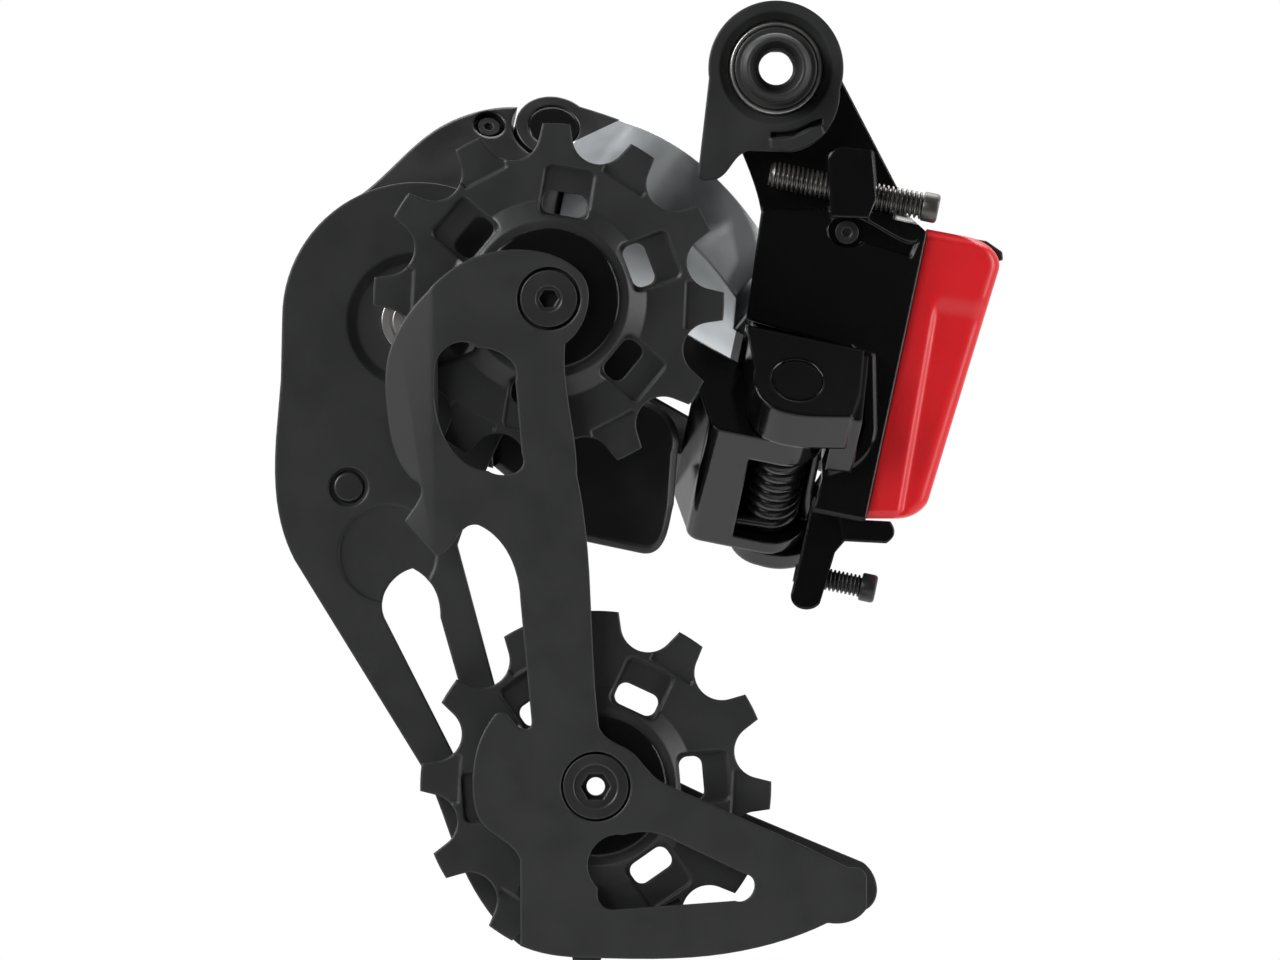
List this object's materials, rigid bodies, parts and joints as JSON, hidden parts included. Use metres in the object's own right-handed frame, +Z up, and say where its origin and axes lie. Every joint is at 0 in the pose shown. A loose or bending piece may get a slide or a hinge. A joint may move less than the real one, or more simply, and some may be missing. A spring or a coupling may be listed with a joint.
{
  "type": "rear bicycle derailleur",
  "caption": "Wireless rear derailleur: slanted parallelogram between two knuckles, sprung cage with two narrow-wide pulleys, hanger washer and bolt, removable red terminal cover.",
  "frame": {"origin": "On the axis of the mounting bolt, in the plane where the bicycle's hanger meets the hanger washer.", "axes": "+X towards the rear of the bicycle, +Y outboard, away from the wheel, +Z up."},
  "size_m": [0.1057, 0.0616, 0.1392],
  "materials": {
    "blasted_black": "fine-blasted hard-anodised aluminium",
    "gloss_black": "gloss black coat over forged aluminium",
    "satin_black": "semi-gloss black coat over forged aluminium",
    "graphite": "bright graphite anodising",
    "bright_steel": "ground steel",
    "dark_steel": "black-oxide steel",
    "satin_bolt": "black satin steel",
    "worn_steel": "worn black-oxide steel",
    "spring_black": "blackened spring wire",
    "red_plastic": "moulded red plastic",
    "black_plastic": "moulded black plastic",
    "pulley_nylon": "glass-filled nylon",
    "soft_rubber": "moulded rubber",
    "lens": "clear light pipe",
    "board": "coated circuit board",
    "gold": "gold-plated spring pin"
  },
  "bodies": {
    "hanger": {"hanger_washer": "blasted_black", "mounting_bolt": "blasted_black"},
    "b_knuckle": {"b_knuckle": "gloss_black", "knuckle_bush": "bright_steel", "b_inner_pin": "gloss_black", "b_outer_pin": "dark_steel", "return_spring": "spring_black", "bay_cover": "gloss_black", "bay_cover_screws": "dark_steel", "status_light": "lens", "circuit_board": "board", "contact_block": "black_plastic", "battery_contacts": "gold", "pocket_screw": "dark_steel", "latch_pin": "bright_steel"},
    "function_button": {"function_button": "soft_rubber"},
    "b_screw": {"b_screw": "worn_steel"},
    "limit_screw": {"limit_screw": "dark_steel"},
    "terminal_cover": {"terminal_cover": "red_plastic"},
    "battery_latch": {"battery_latch": "black_plastic"},
    "inner_link": {"inner_link": "gloss_black", "inner_link_bushes": "black_plastic"},
    "outer_link": {"outer_link": "graphite", "outer_link_bush": "black_plastic", "p_outer_pin": "gloss_black"},
    "p_knuckle": {"p_knuckle": "satin_black", "p_inner_pin": "dark_steel", "p_knuckle_screw": "dark_steel", "p_knuckle_cap": "satin_black", "cage_spring": "spring_black", "cage_damper": "black_plastic", "cage_bearing": "bright_steel", "drive_housing": "satin_black", "drive_cover": "black_plastic", "drive_motor": "bright_steel"},
    "cage": {"inner_cage": "blasted_black", "outer_cage": "blasted_black", "cage_shaft": "bright_steel", "cage_stop_pin": "dark_steel", "guide_bolt": "satin_bolt", "tension_bolt": "satin_bolt", "guide_axle_sleeve": "bright_steel", "guide_bearing_covers": "gloss_black", "tension_axle_sleeve": "bright_steel", "tension_bearing_covers": "gloss_black"},
    "guide_pulley": {"guide_pulley": "pulley_nylon", "guide_bearing_ring": "bright_steel", "guide_bearing_balls": "bright_steel"},
    "tension_pulley": {"tension_pulley": "pulley_nylon", "tension_bearing_ring": "bright_steel", "tension_bearing_balls": "bright_steel"}
  },
  "joints": [
    {"name": "hanger_pivot", "type": "hinge", "parent": "hanger", "child": "b_knuckle", "pos_m": [0, 0, 0], "axis": [0, -1, 0], "range_deg": [-5, 35]},
    {"name": "fold", "type": "hinge", "parent": "b_knuckle", "child": "inner_link", "pos_m": [0.00056, 0.00776, -0.05725], "axis": [0.127, -0.788, 0.6024], "range_deg": [0, 74]},
    {"name": "outer_link_pivot", "type": "hinge", "parent": "b_knuckle", "child": "outer_link", "pos_m": [0.00107, 0.02155, -0.03932], "axis": [0.127, -0.788, 0.6024], "range_deg": [0, 74]},
    {"name": "p_knuckle_pivot", "type": "hinge", "parent": "inner_link", "child": "p_knuckle", "pos_m": [-0.03499, 0.01745, -0.03709], "axis": [0.127, -0.788, 0.6024], "range_deg": [-74, 0]},
    {"name": "cage_pivot", "type": "hinge", "parent": "p_knuckle", "child": "cage", "pos_m": [-0.0523, 0, -0.0367], "axis": [0, 1, 0], "range_deg": [0, 95], "stiffness_Nm_per_rad": 0.12, "springref_deg": -68.75},
    {"name": "guide_spin", "type": "hinge", "parent": "cage", "child": "guide_pulley", "pos_m": [-0.0329, -0.012, -0.0335], "axis": [0, 1, 0], "continuous": true},
    {"name": "tension_spin", "type": "hinge", "parent": "cage", "child": "tension_pulley", "pos_m": [-0.0261, -0.012, -0.104], "axis": [0, 1, 0], "continuous": true},
    {"name": "b_screw_travel", "type": "slide", "parent": "b_knuckle", "child": "b_screw", "axis": [0.9785, 0, -0.2062], "range_m": [-0.0004, 0.004]},
    {"name": "limit_screw_travel", "type": "slide", "parent": "b_knuckle", "child": "limit_screw", "axis": [0.9785, 0, -0.2062], "range_m": [-0.0015, 0.003]},
    {"name": "battery_latch_hinge", "type": "hinge", "parent": "b_knuckle", "child": "battery_latch", "pos_m": [0.0186, 0.014, -0.0242], "axis": [0, -1, 0], "range_deg": [0, 80]},
    {"name": "terminal_cover_tilt", "type": "hinge", "parent": "b_knuckle", "child": "terminal_cover", "pos_m": [0.0152, 0.014, -0.067], "axis": [0, 1, 0], "range_deg": [0, 10]},
    {"name": "function_button_press", "type": "slide", "parent": "b_knuckle", "child": "function_button", "axis": [0, -1, 0], "range_m": [0, 0.0005], "stiffness_N_per_m": 400}
  ],
  "couplings": [
    {"joint": "outer_link_pivot", "follows": "fold", "ratio": 1},
    {"joint": "p_knuckle_pivot", "follows": "fold", "ratio": -1},
    {"joint": "terminal_cover_tilt", "follows": "battery_latch_hinge", "ratio": 0.125}
  ]
}
